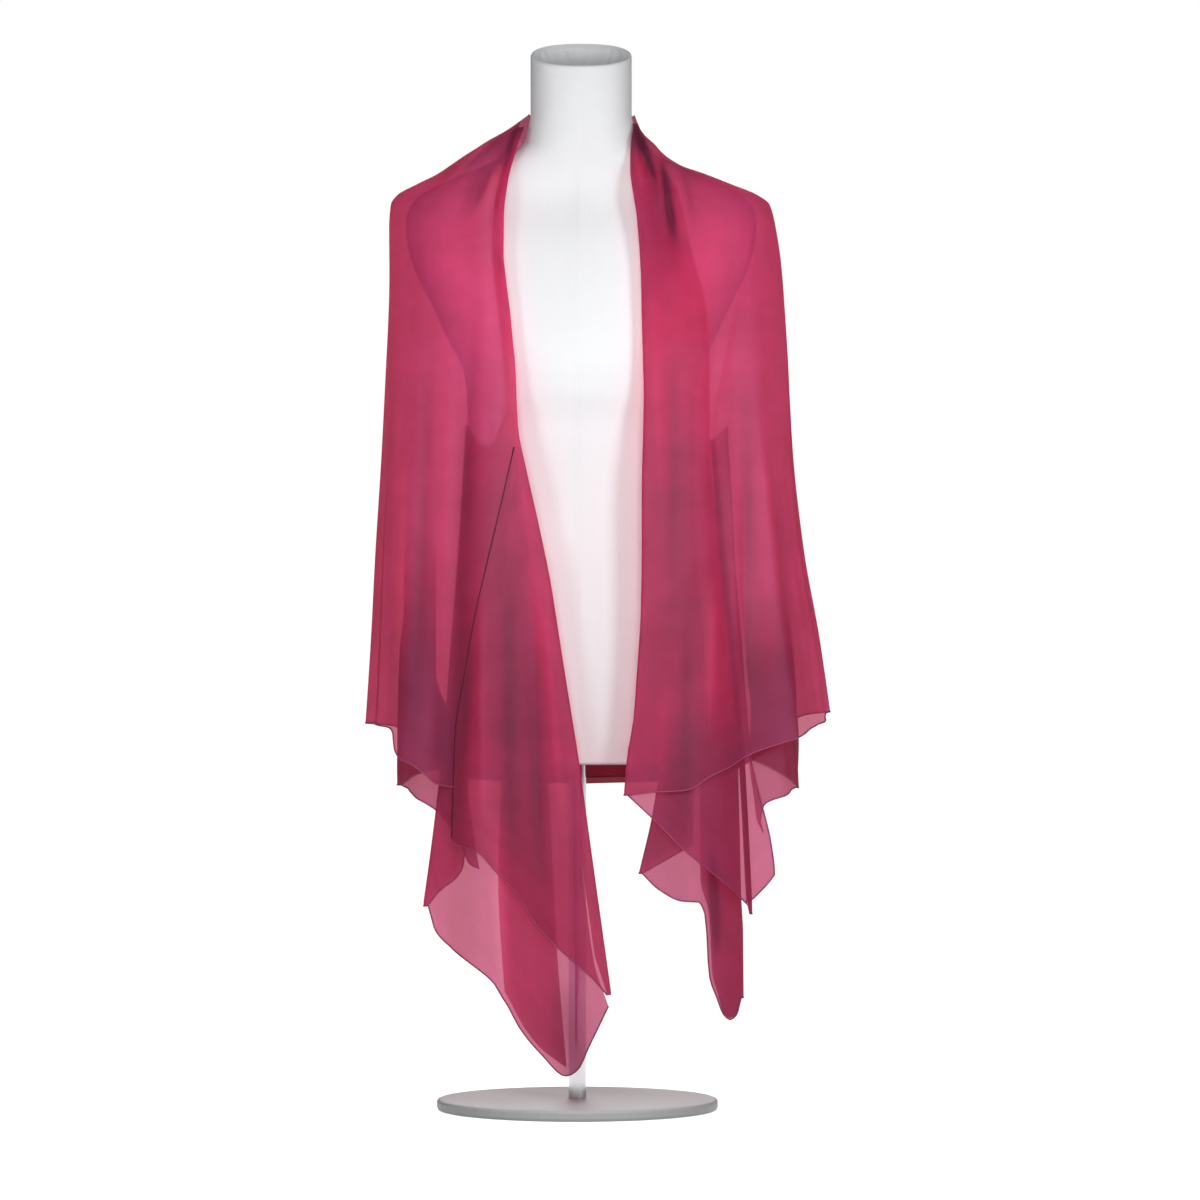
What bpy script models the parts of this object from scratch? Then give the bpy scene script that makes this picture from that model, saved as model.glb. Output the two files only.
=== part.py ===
"""A sheer open-front poncho worn on a limbless dress form with its stand.

Frame: millimetres in the tables, metres in the scene.  +Z is up, the front faces -Y, +X is the
right of the front view.  The origin is on the floor under the axis of the pole.

The outer layer follows one plan curve: at each height a superellipse with its own reach to the left,
right, front and back.  Every other layer is the same curve moved inwards by its depth, so layers
with different depths never cross.  A stretch of cloth is a path of runs.  Each run goes from one
upright edge to another at its own depth, and two runs of one stretch are joined by a round fold.
"""
import bisect
import math

import bmesh
import bpy

MM = 0.001

# ---------------------------------------------------------------- driving sizes
CLOTH = 1.2            # wall of the cloth
SEAM = 0.5             # gap between two stretches along a seam
ROUND = 2.3            # exponent of the plan curve, 2 is an ellipse
FORM_X = 4.0           # the form stands a little to the right of its pole
NECK_TILT = 0.33       # rise of the neck's rim from front to back
NECK_TOP = 1126.0      # height of the rim over the neck's axis
NECK_WALL = 5.0
NECK_RECESS = 34.0     # depth of the open neck, and height of its rim piece
POLE_RADIUS = 9.5
BASE_RADIUS = 150.0
BASE_HEIGHT = 12.0
REST_GAP = 0.3
FORM_SIDES = 36
FOLD_STRIP = 6.0       # cloth beside a folded front edge that belongs to the layer under it
TURN_UNDER = 12.0      # width of the strip turned under at the left front edge
BACK_SEAM = 118.0      # angle of the seams between the capes and the back, degrees from the front

# Outer layer: height, reach to the left, right, front and back.
WRAP = [
    (1062, 51.8, 61, 42, 53.5),
    (1046, 74, 67.5, 48, 55.2),
    (1040, 84, 72, 50, 56),
    (1019, 119, 93, 60, 59.5),
    (1008, 135, 109, 66, 62.5),
    (998, 150, 137, 71, 66.5),
    (987, 172, 165, 77, 71),
    (976, 192, 192, 82, 76),
    (966, 199, 205, 87, 81),
    (940, 201, 212, 97, 92),
    (900, 201, 218, 110, 103),
    (850, 202, 222, 125, 110),
    (790, 204, 226, 134, 117),
    (700, 207, 230, 134, 119),
    (600, 212, 240, 134, 122),
    (500, 216, 257, 134, 126),
    (400, 221, 270, 134, 130),
    (300, 226, 280, 134, 134),
    (40, 236, 300, 134, 140),
]

# Dress form: height, half width, front and back.
FORM = [
    (370, 137, 96, 104),
    (419, 136, 97, 105),
    (500, 131, 94, 98),
    (583, 125, 90, 89),
    (650, 121, 90, 86),
    (727, 121, 101, 89),
    (765, 122, 114, 92),
    (790, 126, 118, 94),
    (815, 139, 116, 95),
    (852, 156, 107, 97),
    (900, 179, 90, 96),
    (928, 186, 78, 91),
    (948, 187, 67, 84),
    (962, 183, 60, 78),
    (973, 175, 56, 73),
    (983, 160, 54, 69),
    (994, 135, 53, 64.5),
    (1004, 110.5, 52, 61),
    (1013, 91, 51.5, 58),
    (1023, 73, 51, 56),
    (1032, 61, 51, 54),
    (1060, 54, 51, 52),
]

# Hem of the outer layer and the back: angle round the form from its front, height.
OUTER_HEM = [
    (-180, 350), (-150, 357), (-135, 385), (-125, 402), (-105, 411), (-83, 413), (-62, 409),
    (-59, 405), (-57, 387), (-52, 376), (-48, 371), (-44, 361), (-40, 351), (-34, 348),
    (8, 340), (14, 343), (21, 345), (27, 360), (33, 370), (39, 381), (46, 390), (57, 402),
    (69, 411), (84, 417), (100, 424), (112, 421), (125, 405), (135, 385), (150, 358), (180, 350),
]

# Upright edges and folds, seen from the front: height, x.
LEFT_FRONT = [
    (1062, -51), (1041, -58), (1018, -66), (990, -73), (944, -77), (910, -77), (878, -74),
    (847, -70), (816, -67), (784, -64), (753, -63), (721, -61), (690, -55), (658, -48),
    (627, -41), (565, -28), (502, -18), (439, -8), (377, 2), (283, 15), (133, 36),
]
LEFT_SEAM = [(704, -65.5), (638, -80), (544, -101), (471, -117), (403, -130), (295, -134)]
LEFT_FOLD = [(727, -118), (583, -128), (411, -143), (327, -152), (225, -163)]
LEFT_TURN = [(727, -100), (400, -112), (265, -118)]
LEFT_TIP = [(165, 18), (119, 33)]
LEFT_PLEAT_IN = [(400, -76), (253, -81), (115, -74)]
LEFT_PLEAT_OUT = [(400, -32), (178, -21), (55, -11)]
LEFT_CORNER = [(640, -176), (405, -190), (348, -189)]
LEFT_CORNER_IN = [(640, -150), (470, -150), (400, -130), (262, -100)]
RIGHT_FRONT = [
    (1051, 60), (1030, 57), (998, 56), (973, 59), (946, 63), (884, 67), (834, 68), (753, 70),
    (659, 68), (596, 68), (534, 67), (471, 63), (419, 59), (377, 52), (340, 49),
]
RIGHT_BAND = [(1030, 72), (974, 106), (905, 122), (850, 136), (802, 140), (753, 140), (713, 147)]
RIGHT_SEAM = [(713, 147), (600, 158), (500, 168), (378, 180), (226, 188)]
RIGHT_PLEAT = [(713, 141), (600, 151), (378, 173), (226, 181)]
RIGHT_OUTER = [(713, 160), (500, 176), (378, 187), (339, 195), (285, 206), (254, 209), (226, 206)]
RIGHT_UNDER = [(440, 96), (318, 79), (257, 65)]
RIGHT_UNDER_IN = [(440, 122), (288, 120)]
RIGHT_UNDER_OUT = [(440, 150), (300, 160), (235, 166), (215, 174), (194, 178), (103, 178)]
RIGHT_TAIL_IN = [(440, 127), (250, 128), (215, 137), (150, 141), (126, 148)]
RIGHT_CORNER = [(560, 222), (398, 237), (344, 238)]
RIGHT_CORNER_IN = [(560, 176), (470, 182), (425, 186), (378, 185), (332, 190), (313, 192), (298, 198)]

# How far inside the outer layer each layer hangs: height, depth.
OUTER = [(1060, 0)]
LEFT_INNER = [(727, 1.9), (640, 6), (500, 9)]
LEFT_BEHIND = [(727, 4.6), (640, 10), (500, 16)]
LEFT_INSIDE = [(400, 10.9), (300, 16)]
LEFT_CORNER_FRONT = [(640, 2.4), (560, 9), (470, 21), (400, 24)]
LEFT_CORNER_BACK = [(640, 5.5), (560, 15), (470, 28), (400, 31)]
LEFT_FACING = [(1040, 3.4), (704, 3)]
RIGHT_INNER = [(1040, 4), (980, 6), (900, 8)]
RIGHT_MIDDLE = [(713, 12), (500, 14)]
RIGHT_LAST = [(713, 16), (500, 20)]
RIGHT_BELOW = [(440, 9.9), (360, 26)]
RIGHT_BELOW_BACK = [(440, 14), (360, 31), (320, 33)]
RIGHT_CORNER_FRONT = [(560, 1.9), (470, 14), (400, 27)]
RIGHT_CORNER_BACK = [(560, 5), (470, 20), (400, 34)]

# Soft upright folds all round: waves in the full turn, shift in degrees, share of the height.
WAVES = [(9, 20, 0.55), (14, 75, 0.45)]
WAVE_HEIGHT = [(960, 0), (850, 2), (700, 5), (500, 8), (350, 11)]

# Deep folds that run down from the neck: x and height of both ends, half width, depth.
CREASES = [
    (70, 1030, 92, 915, 10, 7),
    (98, 1000, 108, 880, 11, 5),
    (-78, 1035, -118, 925, 16, 21.8),
]

# Rows of the outer layer, dense over the shoulders.  Below the knee they are stretched to the hem.
OUTER_KNEE = 620
OUTER_ROWS = [1062, 1046, 1032, 1019, 1008, 998, 987, 976, 966, 952, 930, 900, 860, 815, 765,
              704, 620, 530, 440, 350]
# The back and the capes bend round the arms, so each is parted at elbow height into a stretch over
# the shoulder and one that hangs below it.  The real cloth runs on there without a seam.
ELBOW = 704
SHOULDER_ROWS = [z for z in OUTER_ROWS if z > ELBOW] + [ELBOW + SEAM]
HANGING_ROWS = [z for z in OUTER_ROWS if z <= ELBOW]
# Rows of the gore: those beside the cape match it, those below its hem are stretched.
CAPE_CORNER = 348
GORE_TOP = 704
GORE_ROWS = [z for z in OUTER_ROWS if OUTER_KNEE <= z <= GORE_TOP] + [
    OUTER_KNEE + (CAPE_CORNER - OUTER_KNEE) * share for share in (1 / 3, 2 / 3, 1)
] + [300, 250, 205, 165, 131]

MATERIALS = {
    # name: (base colour, roughness, metallic)
    "chiffon": ((0.42, 0.045, 0.115), 0.72, 0.0),
    "jersey": ((0.86, 0.86, 0.88), 0.85, 0.0),
    "chrome": ((0.62, 0.62, 0.64), 0.18, 1.0),
    "painted_base": ((0.80, 0.80, 0.80), 0.45, 0.0),
}


# ---------------------------------------------------------------- curves from short tables
def read(table, key, column=1):
    """The value of a table at a key, on a smooth curve through its rows."""
    rows = sorted(table)
    keys = [row[0] for row in rows]
    values = [row[column] for row in rows]
    if key <= keys[0]:
        return values[0]
    if key >= keys[-1]:
        return values[-1]
    i = bisect.bisect_right(keys, key) - 1
    slopes = [(values[k + 1] - values[k]) / (keys[k + 1] - keys[k]) for k in range(len(keys) - 1)]

    def tangent(k):
        if k == 0 or k == len(keys) - 1:
            return slopes[min(k, len(slopes) - 1)]
        before, after = slopes[k - 1], slopes[k]
        if before * after <= 0:
            return 0.0
        return 2 * before * after / (before + after)

    span = keys[i + 1] - keys[i]
    t = (key - keys[i]) / span
    h00 = (1 + 2 * t) * (1 - t) ** 2
    h10 = t * (1 - t) ** 2
    h01 = t * t * (3 - 2 * t)
    h11 = t * t * (t - 1)
    return (h00 * values[i] + h10 * span * tangent(i)
            + h01 * values[i + 1] + h11 * span * tangent(i + 1))


def power(value, exponent):
    """A power that keeps the sign of its value."""
    return math.copysign(abs(value) ** exponent, value)


def plan(z, angle):
    """A point of the outer layer's plan curve at a height, angle in radians from the front."""
    side = read(WRAP, z, 2) if math.sin(angle) > 0 else read(WRAP, z, 1)
    reach = read(WRAP, z, 3) if math.cos(angle) > 0 else read(WRAP, z, 4)
    return (side * power(math.sin(angle), 2 / ROUND), -reach * power(math.cos(angle), 2 / ROUND))


def outward(z, angle):
    """The plan curve's unit normal, pointing out."""
    step = 0.03
    x0, y0 = plan(z, angle - step)
    x1, y1 = plan(z, angle + step)
    length = math.hypot(x1 - x0, y1 - y0)
    return (y1 - y0) / length, -(x1 - x0) / length


def wave(z, angle):
    """How far the soft folds push the cloth out."""
    height = read(WAVE_HEIGHT, z)
    return height * sum(share * math.cos(count * (angle + math.radians(shift)))
                        for count, shift, share in WAVES)


def crease(x, z):
    """How far the deep folds from the neck pull the front in."""
    pull = 0.0
    for top_x, top_z, low_x, low_z, width, depth in CREASES:
        along = (top_z - z) / (top_z - low_z)
        if 0 < along < 1:
            middle = top_x + along * (low_x - top_x)
            pull += depth * math.sin(math.pi * along) * math.exp(-((x - middle) / width) ** 2)
    return pull


def cloth_point(z, angle, depth):
    """A point of a layer from its height, angle and depth."""
    x, y = plan(z, angle)
    nx, ny = outward(z, angle)
    push = wave(z, angle) - depth
    if math.cos(angle) > 0:
        push -= crease(x, z)
    return x + nx * push, y + ny * push, z


def angle_at(z, x, depth):
    """The angle at which a layer stands at x on the front."""
    target = x
    for _ in range(4):
        side = read(WRAP, z, 2) if target > 0 else read(WRAP, z, 1)
        ratio = max(-0.999, min(0.999, target / side))
        angle = math.asin(power(ratio, ROUND / 2))
        target = x + depth * outward(z, angle)[0]
    return angle


# ---------------------------------------------------------------- stretches of cloth
def run(start, end, depth, top, hem, columns):
    """One run: edge tables, depth table, (share, height) tables of its top and hem, columns."""
    return {"start": start, "end": end, "depth": depth, "top": top, "hem": hem, "columns": columns}


def level(height):
    """The table of a straight top or hem."""
    return [(0.0, height)]


def shares(count):
    """Rows at equal shares of the way from the top to the hem."""
    return [k / count for k in range(count + 1)]


def front_columns(runs, rows, fold_steps=3):
    """Columns of points along a path of runs seen from the front, with a fold between runs."""
    columns = []
    for number, this in enumerate(runs):
        before = runs[number - 1] if number else None
        after = runs[number + 1] if number + 1 < len(runs) else None
        for k in range(this["columns"] + 1):
            columns.append([run_point(this, before, after, k / this["columns"], row)
                            for row in rows])
        if after:
            for k in range(1, fold_steps + 1):
                turn = math.pi * k / (fold_steps + 1)
                columns.append([fold_point(this, after, turn, row) for row in rows])
    return columns


def run_height(this, share, row):
    """The height of a row.  A run with no top of its own has the rows of the outer layer."""
    hem = read(this["hem"], share)
    if this["top"] is None:
        return stretched(row, hem, OUTER_KNEE, OUTER_ROWS[-1])
    if this["top"] == "gore":
        return stretched(row, hem, CAPE_CORNER, GORE_ROWS[-1])
    top = read(this["top"], share)
    return top + row * (hem - top)


def stretched(row, hem, knee, lowest):
    """A row's own height above the knee, and its share of the way to the hem below it."""
    if row >= knee:
        return row
    return knee + (hem - knee) * (knee - row) / (knee - lowest)


def fold_radius(one, other, z):
    return abs(read(one["depth"], z) - read(other["depth"], z)) / 2 if other else 0.0


def run_point(this, before, after, share, row):
    z = run_height(this, share, row)
    start, end = read(this["start"], z), read(this["end"], z)
    direction = math.copysign(1.0, end - start)
    start += direction * fold_radius(this, before, z)
    end -= direction * fold_radius(this, after, z)
    depth = read(this["depth"], z)
    x = start + share * (end - start)
    return cloth_point(z, angle_at(z, x, depth), depth)


def fold_point(this, after, turn, row):
    z = run_height(this, 1.0, row)
    direction = math.copysign(1.0, read(this["end"], z) - read(this["start"], z))
    first, last = read(this["depth"], z), read(after["depth"], z)
    radius = abs(last - first) / 2
    depth = (first + last) / 2 - (last - first) / 2 * math.cos(turn)
    x = read(this["end"], z) - direction * radius * (1 - math.sin(turn))
    return cloth_point(z, angle_at(z, x, depth), depth)


def outer_columns(edge, last, columns, rows=OUTER_ROWS):
    """Columns of the outer layer from an upright edge on the front to an angle at the back."""
    result = []
    for k in range(columns + 1):
        share = k / columns
        points = []
        for nominal in rows:
            low = math.degrees(outer_angle(edge, last, share, OUTER_ROWS[-1]))
            hem = read(OUTER_HEM, low + 360 if low < -180 else low)
            z = stretched(nominal, hem, OUTER_KNEE, OUTER_ROWS[-1])
            points.append(cloth_point(z, outer_angle(edge, last, share, z), 0.0))
        result.append(points)
    return result


def outer_angle(edge, last, share, z):
    first = edge if isinstance(edge, float) else angle_at(z, read(edge, z), 0.0)
    return first + share * (last - first)


def shifted(table, amount):
    """An edge table moved sideways."""
    return [(z, x + amount) for z, x in table]


def joined(upper, lower, height):
    """An edge that follows one table above a height and another below it."""
    return ([row for row in upper if row[0] > height]
            + [row for row in lower if row[0] <= height])


# ---------------------------------------------------------------- Blender objects
def clear_scene():
    for item in list(bpy.data.objects):
        bpy.data.objects.remove(item, do_unlink=True)


def make_material(name):
    colour, roughness, metallic = MATERIALS[name]
    material = bpy.data.materials.new(name)
    material.use_nodes = True
    shader = material.node_tree.nodes["Principled BSDF"]
    shader.inputs["Base Color"].default_value = (*colour, 1.0)
    shader.inputs["Roughness"].default_value = roughness
    shader.inputs["Metallic"].default_value = metallic
    return material


def add_object(name, mesh, material, collection):
    item = bpy.data.objects.new(name, mesh)
    mesh.materials.append(material)
    mesh.shade_smooth()
    collection.objects.link(item)
    return item


def cloth_object(name, columns, material, collection):
    """An open sheet from columns of points, with the cloth's wall."""
    mesh = bpy.data.meshes.new(name)
    shape = bmesh.new()
    grid = [[shape.verts.new([value * MM for value in point]) for point in column]
            for column in columns]
    for left, right in zip(grid, grid[1:]):
        for k in range(len(left) - 1):
            shape.faces.new((left[k], left[k + 1], right[k + 1], right[k]))
    shape.to_mesh(mesh)
    shape.free()
    item = add_object(name, mesh, material, collection)
    wall = item.modifiers.new("wall", "SOLIDIFY")
    wall.thickness = CLOTH * MM
    wall.offset = 0.0
    wall.use_even_offset = True
    return item


def rim(y):
    """Height of the neck's slanting rim."""
    return NECK_TOP + NECK_TILT * y


def form_ring(shape, half, front, back, height):
    """One ring of the dress form.  Its height is a function of y."""
    ring = []
    for k in range(FORM_SIDES):
        angle = 2 * math.pi * k / FORM_SIDES
        reach = front if math.cos(angle) > 0 else back
        x = FORM_X + half * power(math.sin(angle), 2 / ROUND)
        y = -reach * power(math.cos(angle), 2 / ROUND)
        ring.append(shape.verts.new((x * MM, y * MM, height(y) * MM)))
    return ring


def loft(shape, rings):
    """Faces between rings that follow each other."""
    for low, high in zip(rings, rings[1:]):
        for k in range(FORM_SIDES):
            after = (k + 1) % FORM_SIDES
            shape.faces.new((low[k], low[after], high[after], high[k]))


def dress_form(material, collection):
    """The limbless torso and neck, up to the floor of the open neck."""
    mesh = bpy.data.meshes.new("dress_form")
    shape = bmesh.new()
    rings = [form_ring(shape, *sizes, lambda y, z=z: z) for z, *sizes in FORM]
    rings.append(form_ring(shape, *FORM[-1][1:], lambda y: rim(y) - NECK_RECESS))
    loft(shape, rings)
    shape.faces.new(list(reversed(rings[0])))
    shape.faces.new(rings[-1])
    shape.to_mesh(mesh)
    shape.free()
    return add_object("dress_form", mesh, material, collection)


def neck_rim(material, collection):
    """The wall round the open neck, a ring that sits on the dress form."""
    mesh = bpy.data.meshes.new("neck_rim")
    shape = bmesh.new()
    outer = FORM[-1][1:]
    inner = [size - NECK_WALL for size in outer]

    def floor(y):
        return rim(y) - NECK_RECESS + REST_GAP

    rings = [form_ring(shape, *outer, floor), form_ring(shape, *outer, rim),
             form_ring(shape, *inner, rim), form_ring(shape, *inner, floor)]
    loft(shape, rings + rings[:1])
    shape.to_mesh(mesh)
    shape.free()
    return add_object("neck_rim", mesh, material, collection)


def cylinder(name, radius, low, high, sides, material, collection, bevel=0.0):
    """An upright cylinder on the pole's axis."""
    mesh = bpy.data.meshes.new(name)
    shape = bmesh.new()
    bmesh.ops.create_cone(shape, cap_ends=True, segments=sides, radius1=radius * MM,
                          radius2=radius * MM, depth=(high - low) * MM)
    shape.to_mesh(mesh)
    shape.free()
    item = add_object(name, mesh, material, collection)
    item.location.z = (low + high) / 2 * MM
    if bevel:
        edge = item.modifiers.new("edge", "BEVEL")
        edge.width = bevel * MM
        edge.segments = 2
        edge.limit_method = "ANGLE"
    return item


def build():
    clear_scene()
    collection = bpy.data.collections.new("poncho_on_dress_form")
    bpy.context.scene.collection.children.link(collection)
    chiffon = make_material("chiffon")

    def cloth(name, columns):
        return cloth_object(name, columns, chiffon, collection)

    back_left, back_right = math.radians(-BACK_SEAM), math.radians(BACK_SEAM)
    gap = math.radians(0.15)
    left_edge = joined(shifted(LEFT_FRONT, -FOLD_STRIP - SEAM), LEFT_SEAM, GORE_TOP)
    right_edge = shifted(RIGHT_FRONT, FOLD_STRIP + SEAM)
    back_ends = back_left - gap, back_right + gap - math.tau
    cloth("left_shoulder", outer_columns(left_edge, back_left, 24, SHOULDER_ROWS))
    cloth("left_cape", outer_columns(left_edge, back_left, 24, HANGING_ROWS))
    cloth("back_shoulders", outer_columns(*back_ends, 28, SHOULDER_ROWS))
    cloth("back_panel", outer_columns(*back_ends, 28, HANGING_ROWS))
    cloth("right_shoulder", outer_columns(right_edge, back_right, 28, SHOULDER_ROWS))
    cloth("right_cape", outer_columns(right_edge, back_right, 28, HANGING_ROWS))

    turned = shifted(LEFT_FRONT, -TURN_UNDER)
    cloth("left_facing", front_columns([
        run(shifted(LEFT_FRONT, -FOLD_STRIP), LEFT_FRONT, OUTER, None, level(0), 1),
        run(LEFT_FRONT, turned, LEFT_FACING, None, level(0), 1),
    ], [z for z in OUTER_ROWS[1:] if z > GORE_TOP] + [GORE_TOP + 1]))
    cloth("left_gore", front_columns([
        run(shifted(LEFT_SEAM, SEAM), LEFT_FRONT, OUTER, "gore",
            [(0.0, 294), (0.04, 288), (0.14, 285), (0.23, 280), (0.34, 261), (0.47, 237),
             (0.59, 203), (0.71, 182), (0.94, 145), (1.0, 131)], 12),
        run(LEFT_FRONT, turned, LEFT_INNER, "gore", [(0.0, 131), (1.0, 172)], 1),
    ], GORE_ROWS))
    body_edge = joined(shifted(turned, -3 * SEAM), LEFT_TIP, LEFT_TIP[0][0])
    cloth("left_body", front_columns([
        run(body_edge, LEFT_FOLD, LEFT_INNER, [(0.0, 736), (0.44, 703), (1.0, 727)],
            [(0.0, 119), (0.1, 79), (0.17, 52), (0.23, 46), (0.37, 69), (0.48, 95), (0.56, 126),
             (0.6, 144), (0.68, 159), (0.85, 178), (0.96, 196), (1.0, 222)], 18),
        run(LEFT_FOLD, LEFT_TURN, LEFT_BEHIND, [(0.0, 727), (1.0, 640)],
            [(0.0, 222), (0.2, 236), (0.75, 254), (0.95, 265), (1.0, 282)], 4),
    ], shares(14)))
    cloth("left_pleat", front_columns([
        run(LEFT_PLEAT_IN, LEFT_PLEAT_OUT, LEFT_INSIDE, level(400),
            [(0.0, 134), (0.3, 97), (0.6, 73), (1.0, 54)], 5),
    ], shares(8)))
    cloth("left_corner", front_columns([
        run(LEFT_CORNER_IN, LEFT_CORNER, LEFT_CORNER_FRONT, level(640),
            [(0.0, 372), (0.59, 363), (1.0, 348)], 4),
        run(LEFT_CORNER, LEFT_CORNER_IN, LEFT_CORNER_BACK, level(640),
            [(0.0, 348), (0.23, 337), (0.44, 326), (0.74, 288), (0.87, 266), (1.0, 262)], 6),
    ], shares(8)))

    right_inside = shifted(RIGHT_SEAM, -FOLD_STRIP)
    cloth("right_body", front_columns([
        run(shifted(RIGHT_FRONT, FOLD_STRIP), RIGHT_FRONT, OUTER, None, level(340), 1),
        run(RIGHT_FRONT, joined(RIGHT_BAND, shifted(right_inside, -2 * SEAM), 713), RIGHT_INNER,
            None, [(0.0, 340), (0.24, 312), (0.46, 283), (0.67, 260), (0.88, 238), (1.0, 224)], 10),
    ], OUTER_ROWS[1:]))
    cloth("right_pleat", front_columns([
        run(right_inside, RIGHT_SEAM, RIGHT_INNER, level(712), [(0.0, 206), (1.0, 205)], 1),
        run(RIGHT_SEAM, RIGHT_PLEAT, RIGHT_MIDDLE, level(712), [(0.0, 205), (1.0, 226)], 1),
        run(RIGHT_PLEAT, RIGHT_OUTER, RIGHT_LAST, [(0.0, 712), (1.0, 727)],
            [(0.0, 226), (0.25, 229), (0.7, 241), (1.0, 254)], 4),
    ], shares(10)))
    cloth("right_tail", front_columns([
        run(RIGHT_UNDER_IN, RIGHT_UNDER, RIGHT_BELOW_BACK, level(440), [(0.0, 288), (1.0, 257)], 3),
        run(RIGHT_UNDER, RIGHT_UNDER_OUT, RIGHT_BELOW, level(440),
            [(0.0, 257), (0.17, 240), (0.4, 228), (0.55, 227), (0.61, 215), (0.65, 150),
             (0.72, 128), (0.8, 108), (0.87, 103), (0.94, 107), (1.0, 125)], 16),
        run(RIGHT_UNDER_OUT, RIGHT_TAIL_IN, RIGHT_BELOW_BACK, level(440),
            [(0.0, 125), (0.23, 109), (0.5, 105), (0.77, 110), (1.0, 128)], 5),
    ], shares(10)))
    cloth("right_corner", front_columns([
        run(RIGHT_CORNER_IN, RIGHT_CORNER, RIGHT_CORNER_FRONT, level(560),
            [(0.0, 376), (0.2, 372), (0.36, 367), (0.6, 357), (1.0, 345)], 5),
        run(RIGHT_CORNER, RIGHT_CORNER_IN, RIGHT_CORNER_BACK, level(560),
            [(0.0, 345), (0.35, 339), (0.8, 329), (0.9, 317), (1.0, 298)], 6),
    ], shares(8)))

    jersey = make_material("jersey")
    dress_form(jersey, collection)
    neck_rim(jersey, collection)
    cylinder("stand_pole", POLE_RADIUS, BASE_HEIGHT + REST_GAP, FORM[0][0] - REST_GAP, 24,
             make_material("chrome"), collection)
    cylinder("stand_base", BASE_RADIUS, 0.0, BASE_HEIGHT, 48,
             make_material("painted_base"), collection, bevel=3.0)


build()
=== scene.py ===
"""Looks of a sheer open-front poncho on a limbless dress form.

The tables are in millimetres.  Those under "sizes of the part" repeat the part's own, so each shell
of cloth lies on the solid that it replaces, apart from RIGHT_UNDER_OUT, the right pleat's low tip
and the strip along the back's hem.  Arrays run along the width first and down the cloth second.
"""
import math

import bpy
import numpy as np
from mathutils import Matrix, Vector


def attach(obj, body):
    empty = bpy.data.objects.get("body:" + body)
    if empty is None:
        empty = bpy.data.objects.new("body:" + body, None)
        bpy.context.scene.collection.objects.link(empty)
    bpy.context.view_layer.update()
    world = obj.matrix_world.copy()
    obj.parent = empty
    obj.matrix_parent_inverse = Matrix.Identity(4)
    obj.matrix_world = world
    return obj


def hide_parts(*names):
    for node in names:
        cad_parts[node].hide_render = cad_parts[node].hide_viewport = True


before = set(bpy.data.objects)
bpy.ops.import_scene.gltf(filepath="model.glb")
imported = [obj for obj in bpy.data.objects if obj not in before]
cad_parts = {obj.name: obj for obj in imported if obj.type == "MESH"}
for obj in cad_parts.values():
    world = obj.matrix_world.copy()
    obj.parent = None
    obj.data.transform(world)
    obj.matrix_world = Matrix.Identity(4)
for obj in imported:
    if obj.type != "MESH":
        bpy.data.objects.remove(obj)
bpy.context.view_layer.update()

MM = 0.001

# ---------------------------------------------------------------- sizes of the part
SEAM = 0.5
ROUND = 2.3
FORM_X = 4.0
NECK_TILT = 0.33
NECK_TOP = 1126.0
NECK_WALL = 5.0
NECK_RECESS = 34.0
FOLD_STRIP = 6.0
TURN_UNDER = 12.0
BACK_SEAM = 118.0

# Outer layer: height, reach to the left, right, front and back.
WRAP = [
    (1062, 51.8, 61, 42, 53.5),
    (1046, 74, 67.5, 48, 55.2),
    (1040, 84, 72, 50, 56),
    (1019, 119, 93, 60, 59.5),
    (1008, 135, 109, 66, 62.5),
    (998, 150, 137, 71, 66.5),
    (987, 172, 165, 77, 71),
    (976, 192, 192, 82, 76),
    (966, 199, 205, 87, 81),
    (940, 201, 212, 97, 92),
    (900, 201, 218, 110, 103),
    (850, 202, 222, 125, 110),
    (790, 204, 226, 134, 117),
    (700, 207, 230, 134, 119),
    (600, 212, 240, 134, 122),
    (500, 216, 257, 134, 126),
    (400, 221, 270, 134, 130),
    (300, 226, 280, 134, 134),
    (40, 236, 300, 134, 140),
]

# Dress form: height, half width, front and back.
FORM = [
    (370, 137, 96, 104),
    (419, 136, 97, 105),
    (500, 131, 94, 98),
    (583, 125, 90, 89),
    (650, 121, 90, 86),
    (727, 121, 101, 89),
    (765, 122, 114, 92),
    (790, 126, 118, 94),
    (815, 139, 116, 95),
    (852, 156, 107, 97),
    (900, 179, 90, 96),
    (928, 186, 78, 91),
    (948, 187, 67, 84),
    (962, 183, 60, 78),
    (973, 175, 56, 73),
    (983, 160, 54, 69),
    (994, 135, 53, 64.5),
    (1004, 110.5, 52, 61),
    (1013, 91, 51.5, 58),
    (1023, 73, 51, 56),
    (1032, 61, 51, 54),
    (1060, 54, 51, 52),
]

# Hem of the outer layer and the back: angle round the form from its front, height.
OUTER_HEM = [
    (-180, 350), (-150, 357), (-135, 385), (-125, 402), (-105, 411), (-83, 413), (-62, 409),
    (-59, 405), (-57, 387), (-52, 376), (-48, 371), (-44, 361), (-40, 351), (-34, 348),
    (8, 340), (14, 343), (21, 345), (27, 360), (33, 370), (39, 381), (46, 390), (57, 402),
    (69, 411), (84, 417), (100, 424), (112, 421), (125, 405), (135, 385), (150, 358), (180, 350),
]

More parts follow.
